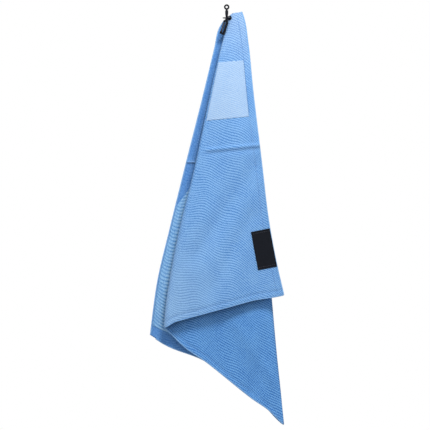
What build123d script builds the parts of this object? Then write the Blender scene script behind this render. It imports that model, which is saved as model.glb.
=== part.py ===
from build123d import *
import math
import os

# A square quick-dry towel hung from a black grommet in one corner, folded in three layers as it hangs,
# with a small swivel snap clip joined to the grommet by a ring. Millimetres, +Z up, -Y towards the viewer.
# Places below are measured from the centre of the grommet hole. At the end everything is moved, so that
# the origin of the finished part is the centre of the hanging eye's bore.

# Cloth: three folded layers of one square sheet, each a plane that leans out towards its hem.
CLOTH = 2.0
FRONT_TOP_Y, FRONT_LEAN = -2.5, 0.030
MIDDLE_TOP_Y, MIDDLE_LEAN = 2.0, 0.0
REAR_TOP_Y, REAR_LEAN = 6.5, -0.022
FOLD_WIDTH = 2.6
HEM_WIDTH = 10.0
HEM_THICK = 0.7
LABEL_THICK = 0.5
SKIN_GAP = 0.02
FOLD_TIP_GAP, FOLD_TIP_INSET = 14.0, 1.0
TUCK_DROP = 8.0
OVERCUT = 1.0

# Outline points of the hanging sheet as (x, z).
TOP_CORNER = (17.0, 9.0)
TOP_SHOULDER = (-1.0, 4.6)
FRONT_CORNER = (77.0, -395.0)
FRONT_FOLD_LOW = (-93.0, -437.0)
TIP = (74.6, -576.0)
REAR_CORNER = (-112.0, -446.0)
RIGHT_EDGE = [TOP_CORNER, (20.5, 0.0), (26.0, -36.0), (54.7, -287.0), FRONT_CORNER]
LEFT_FOLD = [(-4.6, -1.0), (-12.5, -31.0), (-51.8, -219.0), (-84.5, -372.0), FRONT_FOLD_LOW]
RIGHT_FOLD = [(9.0, -6.0), (44.0, -220.0), (60.4, -398.0), TIP]
REAR_EDGE = [(-11.5, -12.0), (-19.5, -32.0), (-60.3, -202.0), (-101.5, -372.0), REAR_CORNER]
REAR_HEM = [REAR_CORNER, (-104.0, -456.5), (-66.0, -474.0), (-36.0, -486.5), (20.0, -528.0), TIP]
MIDDLE_HEM = [FRONT_FOLD_LOW, (-37.6, -485.6), (37.6, -543.0), TIP]

# How far each hem band stops short of the corner it runs to, as (x, z).
FRONT_SIDE_STOP = (-3.0, 14.0)
FRONT_BOTTOM_STOP = (8.0, 3.0)
REAR_SIDE_STOP = (4.5, 31.0)
REAR_BOTTOM_STOP = (8.0, -10.0)
MIDDLE_HEM_RISE = 1.0

# The label, as (x, z) corners, and the bar tack that holds each corner.
LABEL = [(30.5, -304.0), (55.6, -298.6), (66.6, -352.6), (40.5, -357.8)]
TACK_WIDTH, TACK_THICK, TACK_HEIGHT, TACK_PLACE = 3.0, 0.3, 0.7, 0.84

# The seam across the rear layer's front face.
SEAM_Z, SEAM_HEIGHT = -204.0, 3.0
SEAM_LEFT, SEAM_RIGHT = -59.5, 30.0

# Grommet: a barrel through the front layer, rolled over a washer on the back.
GROMMET_BORE_R = 1.8
GROMMET_BARREL_R = 2.15
GROMMET_FLANGE_R = 3.1
GROMMET_FLANGE_THICK = 0.5
GROMMET_ROUND = 0.2

# Link ring, lying level through the grommet and round the neck of the clip.
RING_R, RING_WIRE_R = 5.0, 0.55
RING_X, RING_Y = -4.27, -4.5

# Clip: a flat eye on a swivel post, and a pear-shaped frame closed by a sprung gate.
CLIP_X, CLIP_Y = -4.0, -7.4
EYE_R, EYE_BORE_R, EYE_THICK, EYE_Z = 3.9, 1.6, 2.6, 15.2
EYE_ROUND, POST_ROOT = 0.5, 0.8
POST_R, POST_CLEARANCE, POST_HEAD_R = 1.2, 0.06, 1.75
COLLAR_R, COLLAR_TOP, COLLAR_BASE = 2.2, 10.4, 4.6
POST_END = 3.2
HEAD_CLEARANCE, HEAD_SIDE_CLEARANCE = 0.1, 0.15
WINDOW_BELOW_HEAD = 0.3
NECK_R, NECK_TOP, NECK_END = 1.5, 2.2, -2.4
FRAME_TOP = -2.2
FRAME_TILT, FRAME_TURN = 18.0, 35.0
FRAME_HALF, FRAME_BAR, FRAME_THICK = 2.6, 2.4, 2.4
FRAME_SHOULDER, FRAME_LENGTH = -5.0, -21.0
NOSE_SHOULDER = -4.0
PIN_R, PIN_CLEARANCE, PIN_W = 0.5, 0.06, -18.8
SLOT_HALF, SLOT_SHIFT, SLOT_RISE = 0.8, 1.0, 0.9
SLOT_ROOM_ACROSS, SLOT_ROOM_ALONG = 3.0, 2.2
CUT_DEPTH = 4.0
GATE_THICK, GATE_BAR, GATE_TOP = 0.8, 1.8, -6.0
GATE_EYE_R = 1.1
GATE_ROUND, GATE_WEB, GATE_WEB_RISE = 0.5, 1.8, 1.6
SPRING_R, SPRING_WIRE_R, SPRING_GAP = 0.76, 0.12, 0.03
NOSE_GAP = 0.3


def front_y(z):
    return FRONT_TOP_Y + FRONT_LEAN * z


def middle_y(z):
    return MIDDLE_TOP_Y + MIDDLE_LEAN * z


def rear_y(z):
    return REAR_TOP_Y + REAR_LEAN * z


def sheet(outline, depth, start, thickness):
    """A flat sheet with this (x, z) outline, from start beyond the layer's middle plane, thickness deep."""
    corners = [(x, depth(z) + start, z) for x, z in outline]
    face = Face(Wire.make_polygon(corners, close=True))
    return Solid.extrude(face, Vector(0, thickness, 0))


def layer(outline, depth):
    return sheet(outline, depth, -CLOTH / 2, CLOTH)


def strip(line, side, width):
    """The band of this width on one side (+1 is towards +X) of a line of (x, z) points."""
    return line + [(x + side * width, z) for x, z in reversed(line)]


def hem_band(line, width):
    """The band of this width above a line of (x, z) points."""
    return line + [(x, z + width) for x, z in reversed(line)]


def fold(line, near, far, side):
    """The bend that joins two layers along a folded edge, as short straight walls."""
    wall = None
    for (x0, z0), (x1, z1) in zip(line, line[1:]):
        corners = [
            (x0, near(z0) - CLOTH / 2, z0),
            (x1, near(z1) - CLOTH / 2, z1),
            (x1, far(z1) + CLOTH / 2, z1),
            (x0, far(z0) + CLOTH / 2, z0),
        ]
        face = Face(Wire.make_polygon(corners, close=True))
        piece = Solid.extrude(face, Vector(side * FOLD_WIDTH, 0, 0))
        wall = piece if wall is None else wall + piece
    return wall


def main_cloth():
    front = layer([TOP_SHOULDER] + RIGHT_EDGE + list(reversed(LEFT_FOLD)), front_y)
    middle = layer(LEFT_FOLD[1:] + MIDDLE_HEM[1:] + list(reversed(RIGHT_FOLD[:-1])), middle_y)
    rear_top = [(RIGHT_FOLD[0][0], RIGHT_FOLD[0][1] - TUCK_DROP)]
    rear = layer(REAR_EDGE + REAR_HEM[1:] + list(reversed(RIGHT_FOLD[1:-1])) + rear_top, rear_y)
    left = fold(LEFT_FOLD[1:], front_y, middle_y, 1)
    above_tip = (TIP[0] - FOLD_TIP_INSET, TIP[1] + FOLD_TIP_GAP)
    right = fold(rear_top + RIGHT_FOLD[1:-1] + [above_tip], middle_y, rear_y, -1)
    hole = place_grommet(Cylinder(GROMMET_BARREL_R, 3 * CLOTH))
    return front + left + middle + right + rear - hole


def grommet_barrel():
    tube = Cylinder(GROMMET_BARREL_R, CLOTH + GROMMET_FLANGE_THICK)
    flange = Cylinder(GROMMET_FLANGE_R, GROMMET_FLANGE_THICK)
    flange = Pos(0, 0, CLOTH / 2 + GROMMET_FLANGE_THICK / 2) * flange
    flange = fillet(flange.edges().group_by(Axis.Z)[-1], GROMMET_ROUND)
    body = Pos(0, 0, -GROMMET_FLANGE_THICK / 2) * tube + flange
    body = body - Cylinder(GROMMET_BORE_R, 4 * CLOTH)
    return place_grommet(body)


def grommet_washer():
    washer = Cylinder(GROMMET_FLANGE_R, GROMMET_FLANGE_THICK) - Cylinder(GROMMET_BARREL_R, 2)
    return place_grommet(Pos(0, 0, -CLOTH / 2 - GROMMET_FLANGE_THICK / 2) * washer)


def place_grommet(shape):
    """Local +Z becomes the front layer's outward normal, -Y, at the origin."""
    lean = math.degrees(math.atan(FRONT_LEAN))
    return Pos(0, front_y(0), 0) * Rot(90 - lean, 0, 0) * shape


def link_ring():
    return Pos(RING_X, RING_Y, 0) * Torus(RING_R, RING_WIRE_R)


def hang_eye():
    """The eye and its post in one piece, with the head that is peened on the post inside the collar."""
    eye = Rot(90, 0, 0) * Cylinder(EYE_R, EYE_THICK)
    eye = fillet(eye.edges(), EYE_ROUND)
    bore = Rot(90, 0, 0) * Cylinder(EYE_BORE_R, 2 * EYE_THICK)
    length = EYE_Z - EYE_BORE_R - POST_ROOT - POST_END
    post = Pos(0, 0, POST_END - EYE_Z + length / 2) * Cylinder(POST_R, length)
    head_height = COLLAR_BASE - POST_END - HEAD_CLEARANCE
    head = Pos(0, 0, POST_END - EYE_Z + head_height / 2) * Cylinder(POST_HEAD_R, head_height)
    return Pos(CLIP_X, CLIP_Y, EYE_Z) * (eye + post + head - bore)


def in_frame(shape):
    """Local X runs across the frame, Z up its length and Y through it, with the neck at the origin."""
    return Pos(CLIP_X, CLIP_Y, FRAME_TOP) * Rot(0, FRAME_TILT, 0) * Rot(0, 0, FRAME_TURN) * shape


def bar(start, end, width, thick):
    """A straight bar with round ends between two (u, w) points of the frame."""
    (u0, w0), (u1, w1) = start, end
    length = math.hypot(u1 - u0, w1 - w0)
    angle = math.degrees(math.atan2(u1 - u0, w1 - w0))
    middle = Pos((u0 + u1) / 2, 0, (w0 + w1) / 2) * Rot(0, angle, 0) * Box(width, thick, length)
    ends = [Pos(u, 0, w) * Rot(90, 0, 0) * Cylinder(width / 2, thick) for u, w in (start, end)]
    return middle + ends[0] + ends[1]


def frame_loop():
    """The pear-shaped loop in its own plane, with the gap that the gate closes."""
    half = FRAME_HALF
    corners = [
        ((0, 0), (half, FRAME_SHOULDER)),
        ((half, FRAME_SHOULDER), (half, FRAME_LENGTH)),
        ((half, FRAME_LENGTH), (-half, FRAME_LENGTH)),
        ((-half, FRAME_LENGTH), (-half, PIN_W)),
        ((0, 0), (-half, NOSE_SHOULDER)),
    ]
    loop = None
    for start, end in corners:
        side = bar(start, end, FRAME_BAR, FRAME_THICK)
        loop = side if loop is None else loop + side
    gap_top = GATE_TOP + NOSE_GAP
    gap_height = gap_top - PIN_W - 2 * GATE_EYE_R
    gap = Pos(-half, 0, (gap_top + PIN_W) / 2) * Box(FRAME_BAR + OVERCUT, CUT_DEPTH, gap_height)
    slot_width = 2 * GATE_EYE_R + SLOT_ROOM_ACROSS
    slot_height = 2 * GATE_EYE_R + SLOT_ROOM_ALONG
    slot = Pos(SLOT_SHIFT - half, 0, PIN_W + SLOT_RISE) * Box(slot_width, 2 * SLOT_HALF, slot_height)
    pin_hole = Pos(-half, 0, PIN_W) * Rot(90, 0, 0) * Cylinder(PIN_R, CUT_DEPTH)
    return in_frame(loop - gap - slot - pin_hole)


def collar():
    """The cup that turns on the eye's post, open at two sides where the post is peened."""
    cup = Pos(0, 0, (COLLAR_TOP + NECK_TOP) / 2) * Cylinder(COLLAR_R, COLLAR_TOP - NECK_TOP)
    bore_height = COLLAR_TOP - POST_END + OVERCUT
    bore = Pos(0, 0, POST_END + bore_height / 2) * Cylinder(POST_R + POST_CLEARANCE, bore_height)
    window_height = COLLAR_BASE - POST_END + WINDOW_BELOW_HEAD
    window_width = 2 * (POST_HEAD_R + HEAD_SIDE_CLEARANCE)
    window = Pos(0, 0, COLLAR_BASE - window_height / 2) * Box(4 * COLLAR_R, window_width, window_height)
    return Pos(CLIP_X, CLIP_Y, 0) * (cup - bore - window)


def clip_frame():
    neck = Pos(CLIP_X, CLIP_Y, (NECK_TOP + NECK_END) / 2) * Cylinder(NECK_R, NECK_TOP - NECK_END)
    return frame_loop() + neck + collar()


def gate_pin():
    return in_frame(Pos(-FRAME_HALF, 0, PIN_W) * Rot(90, 0, 0) * Cylinder(PIN_R, FRAME_THICK))


def gate():
    foot = Pos(-FRAME_HALF, 0, PIN_W) * Rot(90, 0, 0) * Cylinder(GATE_EYE_R, GATE_THICK)
    shank_foot = PIN_W + GATE_EYE_R + GATE_WEB_RISE
    web = Pos(-FRAME_HALF, 0, (PIN_W + shank_foot) / 2) * Box(GATE_WEB, GATE_THICK, shank_foot - PIN_W)
    shank = Pos(-FRAME_HALF, 0, (shank_foot + GATE_TOP) / 2) * Box(GATE_BAR, GATE_BAR, GATE_TOP - shank_foot)
    shank = fillet(shank.edges().filter_by(Axis.Z), GATE_ROUND)
    hole = Pos(-FRAME_HALF, 0, PIN_W) * Rot(90, 0, 0) * Cylinder(PIN_R + PIN_CLEARANCE, CUT_DEPTH)
    return in_frame(foot + web + shank - hole)


def gate_spring():
    """A torsion coil round the pin beside the gate's foot."""
    offset = GATE_THICK / 2 + SPRING_GAP + SPRING_WIRE_R
    coil = Pos(-FRAME_HALF, offset, PIN_W) * Rot(90, 0, 0) * Torus(SPRING_R, SPRING_WIRE_R)
    return in_frame(coil)


def in_front(outline, depth, thickness):
    """A thin piece that lies on a layer's front face."""
    return sheet(outline, depth, -CLOTH / 2 - SKIN_GAP - thickness, thickness)


def behind(outline, depth, thickness):
    """A thin piece that lies on a layer's back face."""
    return sheet(outline, depth, CLOTH / 2 + SKIN_GAP, thickness)


def short_of(corner, stop):
    return (corner[0] + stop[0], corner[1] + stop[1])


def front_side_hem():
    above_corner = short_of(FRONT_CORNER, FRONT_SIDE_STOP)
    return behind(strip(RIGHT_EDGE[1:-1] + [above_corner], -1, HEM_WIDTH), front_y, HEM_THICK)


def front_bottom_hem():
    clear_of_fold = short_of(FRONT_FOLD_LOW, FRONT_BOTTOM_STOP)
    return behind(hem_band([clear_of_fold, FRONT_CORNER], HEM_WIDTH), front_y, HEM_THICK)


def middle_hem():
    low = [(x, z + MIDDLE_HEM_RISE) for x, z in MIDDLE_HEM[1:-1]]
    return behind(hem_band(low, HEM_WIDTH), middle_y, HEM_THICK)


def rear_side_hem():
    above_corner = short_of(REAR_CORNER, REAR_SIDE_STOP)
    return behind(strip(REAR_EDGE[1:-1] + [above_corner], 1, HEM_WIDTH), rear_y, HEM_THICK)


def rear_bottom_hem():
    clear_of_corner = short_of(REAR_CORNER, REAR_BOTTOM_STOP)
    return behind(hem_band([clear_of_corner] + REAR_HEM[2:-1], HEM_WIDTH), rear_y, HEM_THICK)


def rear_cross_seam():
    line = [(SEAM_LEFT, SEAM_Z), (SEAM_RIGHT, SEAM_Z)]
    return in_front(hem_band(line, SEAM_HEIGHT), rear_y, HEM_THICK)


def side_label():
    return in_front(LABEL, front_y, LABEL_THICK)


def label_stitches():
    """Four short bar tacks, one near each corner of the label."""
    cx = sum(x for x, _ in LABEL) / len(LABEL)
    cz = sum(z for _, z in LABEL) / len(LABEL)
    lift = CLOTH / 2 + 2 * SKIN_GAP + LABEL_THICK + TACK_THICK / 2
    tacks = []
    for x, z in LABEL:
        tx, tz = cx + TACK_PLACE * (x - cx), cz + TACK_PLACE * (z - cz)
        tacks.append(Pos(tx, front_y(tz) - lift, tz) * Box(TACK_WIDTH, TACK_THICK, TACK_HEIGHT))
    return Compound(children=tacks)


PARTS = {
    "main_cloth": main_cloth,
    "front_side_hem": front_side_hem,
    "front_bottom_hem": front_bottom_hem,
    "middle_hem": middle_hem,
    "rear_side_hem": rear_side_hem,
    "rear_bottom_hem": rear_bottom_hem,
    "rear_cross_seam": rear_cross_seam,
    "side_label": side_label,
    "label_stitches": label_stitches,
    "grommet_barrel": grommet_barrel,
    "grommet_washer": grommet_washer,
    "link_ring": link_ring,
    "hang_eye": hang_eye,
    "clip_frame": clip_frame,
    "gate": gate,
    "gate_pin": gate_pin,
    "gate_spring": gate_spring,
}

to_origin = Pos(-CLIP_X, -CLIP_Y, -EYE_Z)
os.makedirs("parts", exist_ok=True)
for name, make in PARTS.items():
    export_step(to_origin * make(), f"parts/{name}.step")
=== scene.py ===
import math

import bpy
import numpy as np
from mathutils import Matrix, Vector


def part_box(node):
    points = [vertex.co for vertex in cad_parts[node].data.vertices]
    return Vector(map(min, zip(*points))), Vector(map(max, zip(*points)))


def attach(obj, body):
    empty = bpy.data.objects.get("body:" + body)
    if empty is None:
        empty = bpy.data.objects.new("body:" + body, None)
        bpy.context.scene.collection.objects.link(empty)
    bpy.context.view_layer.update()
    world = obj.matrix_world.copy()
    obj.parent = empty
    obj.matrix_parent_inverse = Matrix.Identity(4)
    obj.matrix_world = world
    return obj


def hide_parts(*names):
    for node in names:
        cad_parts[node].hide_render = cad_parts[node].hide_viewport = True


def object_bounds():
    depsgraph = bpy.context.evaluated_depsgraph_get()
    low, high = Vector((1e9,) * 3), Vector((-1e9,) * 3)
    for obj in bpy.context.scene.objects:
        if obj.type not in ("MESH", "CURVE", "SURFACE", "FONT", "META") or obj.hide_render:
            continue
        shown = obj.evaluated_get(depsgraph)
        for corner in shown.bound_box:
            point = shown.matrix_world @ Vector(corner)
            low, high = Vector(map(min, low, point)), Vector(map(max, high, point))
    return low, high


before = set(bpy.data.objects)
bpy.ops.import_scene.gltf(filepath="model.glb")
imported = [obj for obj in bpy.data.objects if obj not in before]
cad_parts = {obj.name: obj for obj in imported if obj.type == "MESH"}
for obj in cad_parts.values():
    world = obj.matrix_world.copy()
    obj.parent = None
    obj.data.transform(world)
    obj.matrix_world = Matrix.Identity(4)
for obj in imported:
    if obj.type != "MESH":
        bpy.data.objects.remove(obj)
CAD_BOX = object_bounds()

MM = 0.001
FABRIC = 1.5                      # thickness of the visible cloth
HEM_WIDTH, HEM_THICK = 9.0, 0.8
ZONE_INSET = 1.4                  # plain cloth between the rear edge and its ribbed zone
STITCH_LENGTH, STITCH_PITCH, STITCH_R = 2.6, 3.6, 0.36
ROWS, COLUMNS = 300, 84
CLOTH_HOLE_R = 2.6                # hole in the visible cloth, hidden under the grommet's flange

# Everything on the cloth is placed from the grommet's centre, in millimetres, as (x, z).
low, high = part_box("grommet_barrel")
GROMMET = (low + high) / 2
FRONT_TOP_Y, FRONT_LEAN = 0.0, 0.025
MIDDLE_TOP_Y, REAR_TOP_Y, REAR_LEAN = 3.8, 7.2, -0.017
RING_ROOM, RING_ROOM_HEIGHT = 1.5, 22.0   # the middle layer stands back from the link ring near the top
TIP_CLOSING, TIP_GAP = (440.0, 570.0), 3.2   # below this the rear layer closes on the middle one
HEM_GROOVE, GROOVE_WIDTH = 0.8, 1.5       # the stitching pulls a shallow groove into the cloth

# The cloth's own borders and folded edges as it hangs, from top to bottom.
RIGHT_EDGE = [(17.0, 9.0), (20.0, 0.0), (26.0, -36.0), (32.5, -100.0), (44.7, -202.0), (55.0, -287.0),
              (67.6, -355.0), (76.4, -392.6)]
LEFT_FOLD = [(-4.9, -3.6), (-7.1, -24.5), (-13.0, -48.0), (-28.5, -116.0), (-50.5, -219.0), (-71.5, -304.0),
             (-84.5, -372.0), (-90.5, -413.0), (-92.8, -439.0)]
RIGHT_FOLD = [(8.0, 5.0), (24.0, -90.0), (44.0, -220.0), (59.6, -398.0), (66.0, -470.0), (73.8, -546.0),
              (77.0, -577.5)]
REAR_EDGE = [(-7.0, -2.5), (-13.8, -13.6), (-20.9, -43.0), (-38.5, -116.0), (-60.3, -202.0),
             (-85.5, -304.0), (-101.5, -372.0), (-110.6, -436.0), (-112.4, -451.0)]

PATCH = [(-15.8, -63.0), (19.8, -60.2), (27.4, -140.2), (-33.0, -146.0)]
LABEL = [(30.5, -304.0), (56.9, -298.6), (67.2, -352.6), (40.5, -357.8)]
REAR_PANEL = [(-73.6, -266.0), (-42.0, -222.0), (10.0, -496.0), (-108.6, -437.4)]
SEAM = [(-60.6, -205.5), (30.0, -205.5)]


# Creases as (depth towards the back, start, end, width).
FRONT_CREASES = [
    (3.0, (50.0, -190.0), (-52.0, -345.0), 13.0),
    (2.2, (40.0, -265.0), (-30.0, -395.0), 11.0),
    (-1.5, (18.0, -140.0), (-30.0, -290.0), 10.0),
    (-1.9, (-38.0, -188.0), (48.0, -180.0), 2.3),
    (0.8, (-38.0, -194.0), (48.0, -186.0), 3.2),
]
MIDDLE_CREASES = [
    (2.2, (62.0, -430.0), (30.0, -540.0), 12.0),
    (-1.4, (0.0, -420.0), (66.0, -520.0), 10.0),
]
SEAM_RIDGE = [(-1.3, (-66.0, -203.0), (-20.0, -206.0), 2.0)]
HELD_HEIGHT = 80.0                # the grommet holds the cloth flat within about this height
CORNER_LIFT = 3.0                 # how far the front layer's lower right corner comes forward
SETTLE = 14.0                     # waves fade out over this distance from a folded edge


# ---------------------------------------------------------------- shape of the hanging cloth

def smooth(x, start, end):
    t = np.clip((x - start) / (end - start), 0.0, 1.0)
    return t * t * (3 - 2 * t)


def bump(u, centre, width):
    return np.exp(-(((u - centre) / width) ** 2))


def along(line, v):
    """The (x, z) point a share v of the way down a border, rounded through its points."""
    points = np.array(line)
    steps = np.r_[0, np.cumsum(np.hypot(*np.diff(points, axis=0).T))]
    s = np.asarray(v) * steps[-1]
    slopes = np.gradient(points, steps, axis=0)
    k = np.clip(np.searchsorted(steps, s, side="right") - 1, 0, len(steps) - 2)
    h = (steps[k + 1] - steps[k])[..., None]
    t = (s - steps[k])[..., None] / h
    return ((2 * t**3 - 3 * t**2 + 1) * points[k] + (t**3 - 2 * t**2 + t) * h * slopes[k]
            + (-2 * t**3 + 3 * t**2) * points[k + 1] + (t**3 - t**2) * h * slopes[k + 1])


def x_at(line, z):
    """Where a border crosses the height z."""
    dense = along(line, np.linspace(0, 1, 200))
    order = np.argsort(dense[:, 1])
    return np.interp(z, dense[order, 1], dense[order, 0])


def roll(distance, radius):
    """How far a layer has turned back at this distance inside a folded edge."""
    d = np.clip(distance, 0, radius)
    return radius - np.sqrt(np.maximum(radius**2 - (radius - d) ** 2, 0))


def flat_y(layer, z):
    if layer == "front":
        return FRONT_TOP_Y + FRONT_LEAN * z
    if layer == "middle":
        return MIDDLE_TOP_Y + RING_ROOM * np.exp(-((z / RING_ROOM_HEIGHT) ** 2))
    closing = smooth(-z, *TIP_CLOSING)
    return (REAR_TOP_Y + REAR_LEAN * z) * (1 - closing) + (MIDDLE_TOP_Y + TIP_GAP) * closing


def ridge(x, z, start, end, width):
    """1 on the line from start to end, fading over width to each side and at both ends."""
    a, b = np.array(start), np.array(end)
    d = (b - a) / np.hypot(*(b - a))
    t = ((x - a[0]) * d[0] + (z - a[1]) * d[1]) / np.hypot(*(b - a))
    off = (x - a[0]) * -d[1] + (z - a[1]) * d[0]
    return np.exp(-((off / width) ** 2)) * smooth(t, -0.05, 0.15) * (1 - smooth(t, 0.9, 1.1))


def add_creases(y, creases, x, z):
    """Adds each crease, (depth, start, end, width), to a layer's depth."""
    for depth, start, end, width in creases:
        y = y + depth * ridge(x, z, start, end, width)
    return y


def drape(layer, x, z):
    """Soft waves and creases, positive towards the back."""
    free = 1 - np.exp(-((z / HELD_HEIGHT) ** 2))
    if layer == "front":
        y = 1.7 * np.sin((x * 0.75 + z * 0.42) / 21.0 + 0.8)
        y += 1.1 * np.sin((x * 0.95 - z * 0.16) / 12.5)
        y = add_creases(y, FRONT_CREASES, x, z)
        y -= CORNER_LIFT * smooth(x, 40.0, 78.0) * smooth(-z, 250.0, 395.0)
        return y * free
    if layer == "middle":
        y = 1.6 * np.sin((x * 0.6 + z * 0.9) / 26.0)
        return add_creases(y, MIDDLE_CREASES, x, z) * free
    y = 1.4 * np.sin((x * 0.9 - z * 0.2) / 17.0)
    y = y * free + 1.5 * free * np.sin(z / 46.0 + 1.0)
    return add_creases(y, SEAM_RIDGE, x, z)


def hem_groove(layer, x, z):
    """The shallow groove that the hem's stitching pulls along the bottom border."""
    if layer not in BOTTOM_BORDERS:
        return 0.0
    border_x, border_z = BOTTOM_BORDERS[layer]
    above = z - np.interp(x, border_x, border_z) - 0.85 * HEM_WIDTH
    return HEM_GROOVE * np.exp(-((above / GROOVE_WIDTH) ** 2))


def surface_y(layer, x, z):
    """Depth of a layer at (x, z), with its folded edges rolled round to meet the next layer."""
    y = flat_y(layer, z) + drape(layer, x, z) * smooth(x - x_at(LEFT_FOLD, z), 0.0, SETTLE)
    y = y + hem_groove(layer, x, z)
    left_r = np.maximum((flat_y("middle", z) - flat_y("front", z)) / 2, 0.5)
    right_r = np.maximum((flat_y("rear", z) - flat_y("middle", z)) / 2, 0.5)
    from_left = x - x_at(LEFT_FOLD, z)
    from_right = x_at(RIGHT_FOLD, z) - x
    if layer == "front":
        return y + roll(from_left, left_r)
    if layer == "middle":
        settle = smooth(from_right, 0.0, SETTLE)
        y = flat_y(layer, z) + (y - flat_y(layer, z)) * settle
        return y - roll(from_left, left_r) + roll(from_right, right_r)
    y = flat_y(layer, z) + drape(layer, x, z) * smooth(from_right, 0.0, SETTLE)
    return y - roll(from_right, right_r)


def shares(count, dense_start, dense_end):
    """Column shares from 0 to 1, closer together beside a folded edge."""
    t = np.linspace(0, 1, count)
    if dense_start and dense_end:
        return (1 - np.cos(math.pi * t)) / 2
    if dense_end:
        return np.sin(math.pi / 2 * t)
    return 1 - np.cos(math.pi / 2 * t)


def layer_grid(layer):
    """(x, z) of each row and column of one layer, columns in order along the folded sheet."""
    v = (np.linspace(0, 1, ROWS) ** 1.25)[:, None]
    rows = v[:, 0]
    if layer == "front":
        start, end, u = along(RIGHT_EDGE, rows), along(LEFT_FOLD, rows), shares(COLUMNS, False, True)
    elif layer == "middle":
        start, end, u = along(LEFT_FOLD, rows), along(RIGHT_FOLD, rows), shares(COLUMNS, True, True)
    else:
        start, end, u = along(RIGHT_FOLD, rows), along(REAR_EDGE, rows), shares(COLUMNS, True, False)
    x = start[:, :1] * (1 - u) + end[:, :1] * u
    z = start[:, 1:] * (1 - u) + end[:, 1:] * u
    if layer == "front":
        z = z + 5.0 * np.sin(math.pi * u**1.5) * (1 - smooth(v, 0.0, 0.06))
        z = z + 4.2 * smooth(u, 0.0, 0.3) * (1 - smooth(u, 0.9, 1.0)) * smooth(v, 0.8, 1.0)
    if layer == "middle":
        z = z + 2.6 * np.sin(math.pi * u) * (1 - smooth(v, 0.0, 0.05))
        hem_wave = 3.5 * bump(u, 0.87, 0.10) - 4.5 * bump(u, 0.18, 0.12)
        z = z + hem_wave * smooth(v, 0.8, 1.0)
    if layer == "rear":
        lift = smooth(1 - u, 0.07, 0.45) * smooth(u, 0.0, 0.25)
        z = z + 16.0 * lift * smooth(v, 0.75, 1.0)
    return x, z


BOTTOM_BORDERS = {}
for border_layer in ("front", "middle"):
    border_grid = [grid[-1] for grid in layer_grid(border_layer)]
    left_to_right = np.argsort(border_grid[0])
    BOTTOM_BORDERS[border_layer] = [row[left_to_right] for row in border_grid]


def place(x, y, z):
    """Grommet-centred millimetres to the frame's metres."""
    return np.stack([GROMMET.x + x * MM, GROMMET.y + y * MM, GROMMET.z + z * MM], axis=-1)


RIB_TURN = {"front": 0.42, "middle": 0.10, "rear": 0.20}
RIB_SLOPE = {"front": 0.0, "middle": -0.62, "rear": -0.12}


def weave_coordinates(layer, x, z):
    """(along the rib, across the ribs) in metres of cloth. The ribs leave the left border nearly level
    and turn down towards the right."""
    left = x_at(REAR_EDGE if layer == "rear" else LEFT_FOLD, np.maximum(z, LEFT_FOLD[-1][1]))
    right = x_at(RIGHT_EDGE if layer == "front" else RIGHT_FOLD, z)
    inward, width = x - left, np.maximum(right - left, 20.0)
    across = z + RIB_TURN[layer] * inward**2 / width - RIB_SLOPE[layer] * inward
    across = across + 2.6 * np.sin(inward / 8.5 + z / 60.0) * smooth(-z, 90.0, 220.0)
    across = across - 6.5 * np.exp(-inward / 5.0) * smooth(-z, 60.0, 150.0)
    return np.stack([inward * 1.15, -across], axis=-1) * MM


# ---------------------------------------------------------------- meshes

def make_mesh(name, points, faces, weave=None):
    mesh = bpy.data.meshes.new(name)
    mesh.from_pydata([tuple(p) for p in points], [], faces)
    mesh.validate()
    if weave is not None:
        layer = mesh.uv_layers.new(name="weave")
        index = np.zeros(len(mesh.loops), np.int32)
        mesh.loops.foreach_get("vertex_index", index)
        layer.data.foreach_set("uv", weave[index].astype(np.float32).ravel())
    mesh.polygons.foreach_set("use_smooth", [True] * len(mesh.polygons))
    obj = bpy.data.objects.new(name, mesh)
    bpy.context.scene.collection.objects.link(obj)
    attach(obj, "towel")
    return obj


def grid_faces(rows, columns):
    return [(r * columns + c, r * columns + c + 1, (r + 1) * columns + c + 1, (r + 1) * columns + c)
            for r in range(rows - 1) for c in range(columns - 1)]


def thicken(obj, thickness):
    """Gives a sheet its real thickness, applied to the mesh."""
    solid = obj.modifiers.new("thickness", "SOLIDIFY")
    solid.thickness, solid.offset = thickness * MM, 0.0
    solid.use_even_offset = False
    apply_modifiers(obj)
    return obj


def apply_modifiers(obj):
    dg = bpy.context.evaluated_depsgraph_get()
    dg.update()
    mesh = bpy.data.meshes.new_from_object(obj.evaluated_get(dg))
    obj.modifiers.clear()
    old, obj.data = obj.data, mesh
    bpy.data.meshes.remove(old)


def towel_sheet():
    """The whole sheet in one mesh: front layer, left fold, middle layer, right fold, rear layer."""
    grids, weaves = [], []
    for n, layer in enumerate(("front", "middle", "rear")):
        x, z = layer_grid(layer)
        if n:
            x, z = x[:, 1:], z[:, 1:]
        y = surface_y(layer, x, z)
        grids.append(place(x, y, z))
        weaves.append(weave_coordinates(layer, x, z))
    points = np.concatenate(grids, axis=1)
    weave = np.concatenate(weaves, axis=1)
    columns = points.shape[1]
    faces = grid_faces(ROWS, columns)
    flat = points.reshape(-1, 3)
    bore = CLOTH_HOLE_R * MM
    kept = []
    for face in faces:
        column = face[0] % columns
        centre = flat[list(face)].mean(0)
        off = math.hypot(centre[0] - GROMMET.x, centre[2] - GROMMET.z)
        if column >= COLUMNS or off > bore:
            kept.append(face)
    obj = make_mesh("towel_sheet", flat, kept, weave.reshape(-1, 2))
    for material in (FABRIC_BLUE, FABRIC_REVERSE, FABRIC_PLAIN):
        obj.data.materials.append(material)
    layer_of = [min((face[0] % columns) // (COLUMNS - 1), 2) for face in kept]
    obj.data.polygons.foreach_set("material_index", layer_of)
    thicken(obj, FABRIC)
    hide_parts("main_cloth")
    return obj


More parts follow.
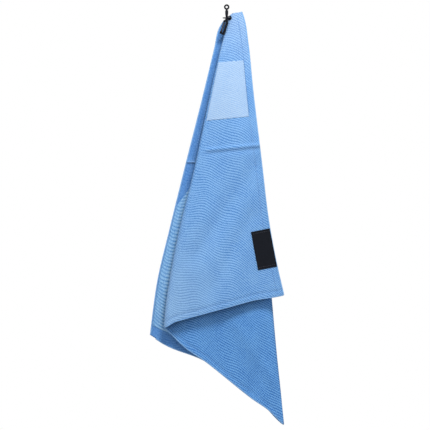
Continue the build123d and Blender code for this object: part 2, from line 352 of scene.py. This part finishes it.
def surface_patch(name, layer, corners, lift, thickness, nodes, cells=(60, 40), side=-1, border=0.0,
                  left_line=None):
    """A closed thin piece that follows a layer. side is -1 on its front and +1 on its back."""
    (a, b, c, d) = [np.array(p, float) for p in corners]
    v, u = np.meshgrid(np.linspace(0, 1, cells[0]), np.linspace(0, 1, cells[1]), indexing="ij")
    u3, v3 = u[..., None], v[..., None]
    xz = (a * (1 - u3) + b * u3) * (1 - v3) + (d * (1 - u3) + c * u3) * v3
    x, z = xz[..., 0], xz[..., 1]
    if left_line:
        x = x + (1 - u) * (x_at(left_line, z[:, :1]) + ZONE_INSET - x[:, :1])
    y = surface_y(layer, x, z) + side * (FABRIC / 2 + lift)
    if border:
        from_side = np.minimum(u, 1 - u) * np.hypot(*(b - a))
        from_end = np.minimum(v, 1 - v) * np.hypot(*(d - a))
        edge = np.minimum(from_side, from_end)
        y = y + side * border * (1 - smooth(edge, 0.5, 2.2))
    obj = make_mesh(name, place(x, y, z).reshape(-1, 3), grid_faces(*cells),
                    weave_coordinates(layer, x, z).reshape(-1, 2))
    thicken(obj, thickness)
    if nodes:
        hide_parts(*nodes)
    return obj


def bottom_border(layer, inset=0.0):
    """The layer's own bottom border, as (x, z) points, clear of its ends by a share of its length."""
    x, z = layer_grid(layer)
    points = list(zip(x[-1], z[-1]))
    cut = int(inset * len(points))
    return points[cut:len(points) - cut:3]


def edge_roll(name, layer, line, radius=1.05):
    """The rounded turned edge of a hem: a soft cord of cloth along a border."""
    ring, count = 10, 260
    centre = along(line, np.linspace(0.0, 1.0, count))
    step = np.gradient(centre, axis=0)
    step /= np.hypot(step[:, 0], step[:, 1])[:, None]
    y = surface_y(layer, centre[:, 0], centre[:, 1])
    angle = np.linspace(0, 2 * math.pi, ring, endpoint=False)
    out = radius * np.cos(angle)
    x_ring = centre[:, :1] - step[:, 1:] * out
    z_ring = centre[:, 1:] + step[:, :1] * out
    points = place(x_ring, y[:, None] + radius * np.sin(angle), z_ring).reshape(-1, 3)
    faces = [(r * ring + k, r * ring + (k + 1) % ring, (r + 1) * ring + (k + 1) % ring, (r + 1) * ring + k)
             for r in range(count - 1) for k in range(ring)]
    faces.append(tuple(reversed(range(ring))))
    faces.append(tuple((count - 1) * ring + k for k in range(ring)))
    weave = weave_coordinates(layer, x_ring, z_ring).reshape(-1, 2)
    return make_mesh(name, points, faces, weave)


def hem_strip(name, layer, line, inward, nodes, side=1):
    """The turned hem: a soft raised band along a border, on the back of a layer."""
    count = 220
    centre = along(line, np.linspace(0.0, 1.0, count))
    across = np.linspace(0, 1, 9)
    x = centre[:, :1] + inward[0] * across
    z = centre[:, 1:] + inward[1] * across
    crown = HEM_THICK * (1 - (2 * across - 1) ** 4)
    y = surface_y(layer, x, z) + side * (FABRIC / 2 - 0.1 + crown / 2)
    obj = make_mesh(name, place(x, y, z).reshape(-1, 3), grid_faces(count, 9),
                    weave_coordinates(layer, x, z).reshape(-1, 2))
    thicken(obj, HEM_THICK)
    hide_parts(*nodes)
    return obj


def stitch_row(name, layer, line, side=-1, pitch=STITCH_PITCH, radius=STITCH_R,
               length=STITCH_LENGTH):
    """A row of lockstitches lying on a layer: small thread capsules, sunk by a third."""
    dense = along(line, np.linspace(0, 1, 400))
    steps = np.r_[0, np.cumsum(np.hypot(*np.diff(dense, axis=0).T))]
    points, faces = [], []
    ring, spans = 6, (-1.0, -0.8, 0.0, 0.8, 1.0)
    swell = (0.25, 0.8, 1.0, 0.8, 0.25)
    for s in np.arange(pitch / 2, steps[-1] - pitch / 2, pitch):
        x, z = np.interp(s, steps, dense[:, 0]), np.interp(s, steps, dense[:, 1])
        x2, z2 = np.interp(s + 0.5, steps, dense[:, 0]), np.interp(s + 0.5, steps, dense[:, 1])
        dx, dz = (x2 - x), (z2 - z)
        n = math.hypot(dx, dz) or 1.0
        dx, dz = dx / n, dz / n
        base = len(points)
        for t, r in zip(spans, swell):
            px, pz = x + dx * t * length / 2, z + dz * t * length / 2
            py = float(surface_y(layer, np.array(px), np.array(pz))) + side * (FABRIC / 2 + radius * 0.3)
            for k in range(ring):
                angle = 2 * math.pi * k / ring
                off = radius * r * math.cos(angle)
                points.append(place(px - dz * off, py + radius * r * math.sin(angle), pz + dx * off))
        for i in range(len(spans) - 1):
            for k in range(ring):
                m = (k + 1) % ring
                faces.append((base + i * ring + k, base + i * ring + m,
                              base + (i + 1) * ring + m, base + (i + 1) * ring + k))
        faces.append(tuple(base + k for k in reversed(range(ring))))
        faces.append(tuple(base + (len(spans) - 1) * ring + k for k in range(ring)))
    return make_mesh(name, points, faces)


# ---------------------------------------------------------------- materials

class Nodes:
    """Short names for building a node tree."""

    def __init__(self, name):
        self.material = bpy.data.materials.new(name)
        self.material.use_nodes = True
        self.tree = self.material.node_tree
        self.bsdf = self.tree.nodes["Principled BSDF"]

    def add(self, kind, **settings):
        node = self.tree.nodes.new(kind)
        for key, value in settings.items():
            if key in node.inputs:
                node.inputs[key].default_value = value
            else:
                setattr(node, key, value)
        return node

    def link(self, out, target):
        self.tree.links.new(out, target)

    def math(self, operation, a, b=None):
        node = self.add("ShaderNodeMath", operation=operation)
        for slot, value in enumerate((a, b)):
            if value is None:
                continue
            if isinstance(value, (int, float)):
                node.inputs[slot].default_value = value
            else:
                self.link(value, node.inputs[slot])
        return node.outputs[0]

    def remap(self, value, start, end, low, high):
        """low where value is start, high where it is end, and held at those beyond."""
        node = self.add("ShaderNodeMapRange")
        settings = {"From Min": start, "From Max": end, "To Min": low, "To Max": high}
        for key, setting in settings.items():
            node.inputs[key].default_value = setting
        self.link(value, node.inputs["Value"])
        return node.outputs[0]

    def blend(self, factor, colour, other):
        """Mixes a colour towards a fixed one."""
        node = self.add("ShaderNodeMix", data_type="RGBA")
        self.link(factor, node.inputs["Factor"])
        self.link(colour, node.inputs[6])
        node.inputs[7].default_value = (*other, 1)
        return node.outputs[2]

    def ramp(self, factor, stops):
        node = self.add("ShaderNodeValToRGB")
        elements = node.color_ramp.elements
        while len(elements) < len(stops):
            elements.new(0.5)
        for element, (position, colour) in zip(elements, stops):
            element.position, element.color = position, (*colour, 1)
        self.link(factor, node.inputs[0])
        return node.outputs[0]


RIB_WANDER = 0.009                # how far a rib strays from its line, in metres
DEEPEST_PAINTED_SHADE = 0.30               # share of the cloth's colour left where the painted crevice shade is deepest
TOP_LIGHT_ZONE = (0.0, 0.075)           # metres down the cloth over which the painted highlight on its top fades out
LOW_LIGHT_ZONE = (0.27, 0.40)           # metres down the cloth over which painted light brightens its lower left
LEFT_LIGHT_ZONE = (0.015, 0.11)         # metres inwards over which that painted light fades out
# colours of the painted highlight at the top and of the painted light at the lower left
TOP_LIGHT_COLOUR, LOW_LEFT_LIGHT_COLOUR = (0.75, 0.85, 0.95), (0.55, 0.78, 0.98)


def rib_fabric(name, dark, light, rib_pitch=3.4, contrast=1.9, bump_strength=0.45, cell_relief=0.08,
               top_light=0.0, low_left_light=0.0, shade_reach=0.012, sheen=0.06):
    """Ribbed quick-dry microfibre: wavy ribs, broken into cells, on a fine knit with soft mottling. Its
    colour also carries painted shade in the weave's grooves and in crevices, a painted highlight at the top
    and painted light at the lower left.
    """
    n = Nodes(name)
    uv = n.add("ShaderNodeUVMap", uv_map="weave")
    split = n.add("ShaderNodeSeparateXYZ")
    n.link(uv.outputs[0], split.inputs[0])
    along_rib, across_rib = split.outputs[0], split.outputs[1]
    warp = n.add("ShaderNodeTexNoise", Scale=22.0, Detail=1.0)
    n.link(uv.outputs[0], warp.inputs["Vector"])
    stray = n.math("SUBTRACT", warp.outputs[0], 0.5)
    bent = n.math("ADD", across_rib, n.math("MULTIPLY", stray, RIB_WANDER))
    turn = 2 * math.pi / (rib_pitch * MM)
    rib = n.math("ABSOLUTE", n.math("SINE", n.math("MULTIPLY", bent, turn / 2)))
    rib = n.math("SUBTRACT", n.math("MULTIPLY", n.math("POWER", rib, 0.7), 2.0), 1.3)
    slanted = n.math("ADD", along_rib, n.math("MULTIPLY", bent, 0.5))
    cell = n.math("SINE", n.math("MULTIPLY", slanted, turn * 1.25))
    knit = n.math("SINE", n.math("MULTIPLY", along_rib, turn * 3.2))
    fine = n.add("ShaderNodeTexNoise", Scale=900.0, Detail=3.0)
    n.link(uv.outputs[0], fine.inputs["Vector"])
    relief = n.remap(along_rib, 0.0, 0.020, 0.12, 0.28)
    height = n.math("ADD", n.math("MULTIPLY", rib, relief), 0.5)
    height = n.math("ADD", height, n.math("MULTIPLY", cell, cell_relief))
    height = n.math("ADD", height, n.math("MULTIPLY", knit, 0.05))
    height = n.math("ADD", height, n.math("MULTIPLY", n.math("SUBTRACT", fine.outputs[0], 0.5), 0.55))
    mottle = n.add("ShaderNodeTexNoise", Scale=38.0, Detail=4.0)
    n.link(uv.outputs[0], mottle.inputs["Vector"])
    # the dark lines of the ribs and cells are painted shade in the weave's grooves; the mottle and specks
    # are the cloth's own random tone
    rib_shade_and_tone = n.math("ADD", n.math("MULTIPLY", n.math("SUBTRACT", height, 0.5), contrast), 0.5)
    rib_shade_and_tone = n.math("ADD", rib_shade_and_tone, n.math("MULTIPLY", n.math("SUBTRACT", mottle.outputs[0], 0.5), 0.45))
    speck = n.add("ShaderNodeTexNoise", Scale=430.0, Detail=2.0)
    n.link(uv.outputs[0], speck.inputs["Vector"])
    rib_shade_and_tone = n.math("ADD", rib_shade_and_tone, n.math("MULTIPLY", n.math("SUBTRACT", speck.outputs[0], 0.5), 1.1))
    colour = n.ramp(rib_shade_and_tone, [(0.12, dark), (0.88, light)])
    # painted highlight: the top of the cloth is mixed towards a pale colour, standing in for the key light
    # from above
    if top_light:
        colour = n.blend(n.remap(across_rib, *TOP_LIGHT_ZONE, top_light, 0.0), colour, TOP_LIGHT_COLOUR)
    # painted light: the lower left is mixed towards a lighter blue, standing in for light falling there
    if low_left_light:
        low_down = n.remap(across_rib, *LOW_LIGHT_ZONE, 0.0, low_left_light)
        to_left = n.remap(along_rib, *LEFT_LIGHT_ZONE, 1.0, 0.0)
        colour = n.blend(n.math("MULTIPLY", low_down, to_left), colour, LOW_LEFT_LIGHT_COLOUR)
    # painted shade: ambient occlusion darkens the colour in crevices, beside folds and under the layers'
    # hems
    occlusion = n.add("ShaderNodeAmbientOcclusion", samples=8, Distance=shade_reach)
    painted_shade = n.remap(occlusion.outputs["AO"], 0.25, 0.95, DEEPEST_PAINTED_SHADE, 1.0)
    shaded = n.add("ShaderNodeMix", data_type="RGBA", blend_type="MULTIPLY")
    shaded.inputs["Factor"].default_value = 1.0
    n.link(colour, shaded.inputs[6])
    n.link(painted_shade, shaded.inputs[7])
    n.link(shaded.outputs[2], n.bsdf.inputs["Base Color"])
    bump_node = n.add("ShaderNodeBump", Strength=bump_strength, Distance=0.0006)
    n.link(height, bump_node.inputs["Height"])
    n.link(bump_node.outputs[0], n.bsdf.inputs["Normal"])
    n.bsdf.inputs["Roughness"].default_value = 0.88
    n.bsdf.inputs["Sheen Weight"].default_value = sheen
    n.bsdf.inputs["Sheen Roughness"].default_value = 0.6
    n.bsdf.inputs["Specular IOR Level"].default_value = 0.2
    return n.material


def label_fabric():
    """Black satin-woven label: very fine weave lines."""
    n = Nodes("label_weave")
    place_in = n.add("ShaderNodeTexCoord")
    wave = n.add("ShaderNodeTexWave", Scale=520.0, Distortion=0.6, Detail=1.0, bands_direction="Z")
    n.link(place_in.outputs["Object"], wave.inputs["Vector"])
    fine = n.add("ShaderNodeTexNoise", Scale=1500.0, Detail=2.0)
    n.link(place_in.outputs["Object"], fine.inputs["Vector"])
    weave = n.math("MULTIPLY", wave.outputs["Fac"], 0.5)
    mix = n.math("ADD", weave, n.math("MULTIPLY", fine.outputs[0], 0.5))
    colour = n.ramp(mix, [(0.2, (0.004, 0.005, 0.008)), (0.9, (0.016, 0.019, 0.028))])
    n.link(colour, n.bsdf.inputs["Base Color"])
    bump_node = n.add("ShaderNodeBump", Strength=0.3, Distance=0.0003)
    n.link(mix, bump_node.inputs["Height"])
    n.link(bump_node.outputs[0], n.bsdf.inputs["Normal"])
    n.bsdf.inputs["Roughness"].default_value = 0.8
    n.bsdf.inputs["Specular IOR Level"].default_value = 0.12
    return n.material


def thread(name, dark, light):
    n = Nodes(name)
    place_in = n.add("ShaderNodeTexCoord")
    twist = n.add("ShaderNodeTexWave", Scale=900.0, Distortion=1.5, bands_direction="DIAGONAL")
    n.link(place_in.outputs["Object"], twist.inputs["Vector"])
    n.link(n.ramp(twist.outputs["Fac"], [(0.2, dark), (0.8, light)]), n.bsdf.inputs["Base Color"])
    n.bsdf.inputs["Roughness"].default_value = 0.7
    return n.material


def metal(name, base, worn, amount, roughness, metallic=0.4):
    """Coated metal: fine orange peel, with the coating worn on its convex edges."""
    n = Nodes(name)
    place_in = n.add("ShaderNodeTexCoord")
    geometry = n.add("ShaderNodeNewGeometry")
    speck = n.add("ShaderNodeTexNoise", Scale=900.0, Detail=4.0)
    n.link(place_in.outputs["Object"], speck.inputs["Vector"])
    edge = n.math("MULTIPLY", n.math("SUBTRACT", geometry.outputs["Pointiness"], 0.5), 6.0)
    wear = n.math("MULTIPLY", n.math("ADD", edge, n.math("SUBTRACT", speck.outputs[0], 0.45)), amount)
    n.link(n.ramp(wear, [(0.3, base), (0.9, worn)]), n.bsdf.inputs["Base Color"])
    rough = n.math("ADD", n.math("MULTIPLY", speck.outputs[0], 0.25), roughness)
    n.link(rough, n.bsdf.inputs["Roughness"])
    bump_node = n.add("ShaderNodeBump", Strength=0.15, Distance=0.0001)
    n.link(speck.outputs[0], bump_node.inputs["Height"])
    n.link(bump_node.outputs[0], n.bsdf.inputs["Normal"])
    n.bsdf.inputs["Metallic"].default_value = metallic
    n.bsdf.inputs["Specular IOR Level"].default_value = 0.3
    return n.material


def paint(material, *objects):
    for obj in objects:
        obj.data.materials.clear()
        obj.data.materials.append(material)


# front cloth: painted highlight at its top and painted light at its lower left
FABRIC_BLUE = rib_fabric("rib_fabric_blue", (0.055, 0.215, 0.60), (0.27, 0.52, 0.87), top_light=0.20,
                         low_left_light=0.22)
# the reverse side's painted crevice shade reaches further, under the front layer's hem
FABRIC_REVERSE = rib_fabric("rib_fabric_reverse", (0.028, 0.16, 0.54), (0.19, 0.47, 0.90), shade_reach=0.04)
FABRIC_LIGHT = rib_fabric("rib_fabric_light", (0.28, 0.47, 0.79), (0.47, 0.65, 0.88), rib_pitch=2.8,
                          contrast=1.5)
FABRIC_REAR = rib_fabric("rib_fabric_rear", (0.08, 0.29, 0.68), (0.38, 0.67, 0.97), rib_pitch=4.7,
                         bump_strength=0.5, cell_relief=0.0)
FABRIC_PLAIN = rib_fabric("plain_fabric", (0.035, 0.17, 0.55), (0.18, 0.42, 0.82), contrast=0.45,
                          bump_strength=0.25)
FABRIC_HEM = rib_fabric("hem_fabric", (0.12, 0.33, 0.74), (0.25, 0.48, 0.85), contrast=0.4,
                        bump_strength=0.3)
# paler edge cloth: partly lighter thread, partly a painted highlight along the rolled rim
FABRIC_EDGE_AND_RIM_LIGHT = rib_fabric("edge_fabric_and_rim_light", (0.15, 0.38, 0.80), (0.31, 0.57, 0.92), contrast=0.6,
                         bump_strength=0.3)
THREAD_BLUE = thread("thread_blue", (0.10, 0.28, 0.66), (0.25, 0.48, 0.85))
THREAD_BLACK = thread("thread_black", (0.02, 0.02, 0.03), (0.07, 0.07, 0.09))
LABEL_CLOTH = label_fabric()
BLACK_METAL = metal("coated_metal", (0.006, 0.007, 0.012), (0.018, 0.019, 0.024), 0.8, 0.38)
GATE_METAL = metal("gate_metal", (0.010, 0.010, 0.014), (0.10, 0.10, 0.11), 1.2, 0.25)
SPRING_METAL = metal("spring_metal", (0.42, 0.42, 0.44), (0.62, 0.62, 0.64), 0.8, 0.22, metallic=0.95)

# ---------------------------------------------------------------- the towel

towel_sheet()

light_patch = surface_patch("light_patch_cloth", "front", PATCH, 0.05, 0.25, [],
                            cells=(90, 60))
paint(FABRIC_LIGHT, light_patch)
ribbed_zone = surface_patch("rear_ribbed_cloth", "rear", REAR_PANEL, 0.05, 0.3, [],
                            cells=(160, 70), left_line=REAR_EDGE)
paint(FABRIC_REAR, ribbed_zone)
label = surface_patch("side_label_cloth", "front", LABEL, 0.25, 0.6, ["side_label"],
                      cells=(70, 40), border=0.25)
paint(LABEL_CLOTH, label)

HEM_LINES = [
    ("front_side_hem", "front", [(x - 0.8, z) for x, z in RIGHT_EDGE[1:]], (-HEM_WIDTH, 0.0)),
    ("front_bottom_hem", "front", bottom_border("front", 0.04), (0.0, HEM_WIDTH)),
    ("middle_hem", "middle", bottom_border("middle", 0.07), (0.0, HEM_WIDTH)),
    ("rear_side_hem", "rear", [(x + 0.8, z) for x, z in REAR_EDGE[1:-1]], (HEM_WIDTH, 0.0)),
    ("rear_bottom_hem", "rear", bottom_border("rear", 0.10), (0.0, HEM_WIDTH)),
    ("rear_cross_seam", "rear", SEAM, (0.0, 3.0)),
]
for node, layer, line, inward in HEM_LINES:
    side = -1 if node == "rear_cross_seam" else 1
    paint(FABRIC_HEM, hem_strip(node + "_band", layer, line, inward, [node], side))
    inner = [(x + inward[0] * 0.85, z + inward[1] * 0.85) for x, z in line]
    paint(THREAD_BLUE, stitch_row(node + "_stitches", layer, inner))


BORDER_ROLLS = [
    ("front_side_edge", "front", RIGHT_EDGE),
    ("front_bottom_edge", "front", bottom_border("front")),
    ("middle_bottom_edge", "middle", bottom_border("middle")),
    ("rear_side_edge", "rear", REAR_EDGE),
    ("rear_bottom_edge", "rear", bottom_border("rear")),
]
# the edge rolls carry the painted rim highlight of the paler edge cloth
for name, layer, line in BORDER_ROLLS:
    paint(FABRIC_EDGE_AND_RIM_LIGHT, edge_roll(name, layer, line))


def label_outline(share):
    middle = np.mean(np.array(LABEL), axis=0)
    return [tuple(middle + (np.array(p) - middle) * share) for p in LABEL]


inset = label_outline(0.88)
for n, (start, end) in enumerate(((0, 1), (3, 2))):
    row = stitch_row(f"label_stitches_{n}", "front", [inset[start], inset[end]],
                     pitch=2.6, length=1.8, radius=0.3)
    row.data.transform(Matrix.Translation((0, -0.75 * MM, 0)))
    paint(THREAD_BLACK, row)
    if n == 0:
        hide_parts("label_stitches")

# ---------------------------------------------------------------- metal, which keeps its CAD shapes

for node in ("hang_eye", "clip_frame", "link_ring", "grommet_barrel", "grommet_washer"):
    paint(BLACK_METAL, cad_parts[node])
paint(GATE_METAL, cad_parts["gate"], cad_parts["gate_pin"])
paint(SPRING_METAL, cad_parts["gate_spring"])

# ---------------------------------------------------------------- studio

FRAME_WIDTH = 0.6106              # metres across the picture, at the towel
FRAME_CENTRE = (-20.6, 0.0, -279.7)
LENS, SENSOR = 200.0, 36.0
WORLD_LIGHT, FLOOR_LIGHT = 0.38, 0.40
LAMPS = {
    "key": ((0.24, -0.85, 1.05), 13.8, 0.34),
    "fill": ((-0.9, -1.2, -0.3), 7.5, 1.0),
    "back_fill": ((0.2, 1.4, 0.5), 6.0, 1.2),
}


def seen_as_white(tree, shader, light_strength):
    """Pure white to the camera, and a soft light of this strength to everything else."""
    path = tree.nodes.new("ShaderNodeLightPath")
    strength = tree.nodes.new("ShaderNodeMapRange")
    strength.inputs["To Min"].default_value = light_strength
    strength.inputs["To Max"].default_value = 1.0
    tree.links.new(path.outputs["Is Camera Ray"], strength.inputs["Value"])
    tree.links.new(strength.outputs[0], shader.inputs["Strength"])
    shader.inputs["Color"].default_value = (1, 1, 1, 1)


def studio():
    low, high = CAD_BOX
    size = high.z - low.z
    z, reach = low.z - 0.05 * size, 6 * size
    mesh = bpy.data.meshes.new("studio_floor")
    corners = [(-reach, -reach, z), (reach, -reach, z), (reach, reach, z), (-reach, reach, z)]
    mesh.from_pydata(corners, [], [(0, 1, 2, 3)])
    floor = bpy.data.objects.new("studio_floor", mesh)
    bpy.context.scene.collection.objects.link(floor)
    n = Nodes("floor_paint")
    white = n.add("ShaderNodeEmission")
    seen_as_white(n.tree, white, FLOOR_LIGHT)
    n.link(white.outputs[0], n.tree.nodes["Material Output"].inputs["Surface"])
    paint(n.material, floor)
    world = bpy.data.worlds.new("studio_world")
    bpy.context.scene.world = world
    world.use_nodes = True
    seen_as_white(world.node_tree, world.node_tree.nodes["Background"], WORLD_LIGHT)
    centre = (low + high) / 2
    for name, (place_at, power, width) in LAMPS.items():
        light = bpy.data.lights.new(name, "AREA")
        light.energy, light.size = power, width
        lamp = bpy.data.objects.new(name, light)
        bpy.context.scene.collection.objects.link(lamp)
        lamp.location = centre + Vector(place_at)
        lamp.rotation_euler = (centre - lamp.location).to_track_quat("-Z", "Y").to_euler()


def camera():
    """A long lens square on to the front."""
    data = bpy.data.cameras.new("camera")
    data.lens, data.sensor_width = LENS, SENSOR
    cam = bpy.data.objects.new("camera", data)
    bpy.context.scene.collection.objects.link(cam)
    centre = GROMMET + Vector(FRAME_CENTRE) * MM
    cam.location = centre + Vector((0, -FRAME_WIDTH * LENS / SENSOR, 0))
    cam.rotation_euler = (math.pi / 2, 0, 0)
    bpy.context.scene.camera = cam


studio()
camera()
bpy.context.scene.view_settings.view_transform = "Standard"
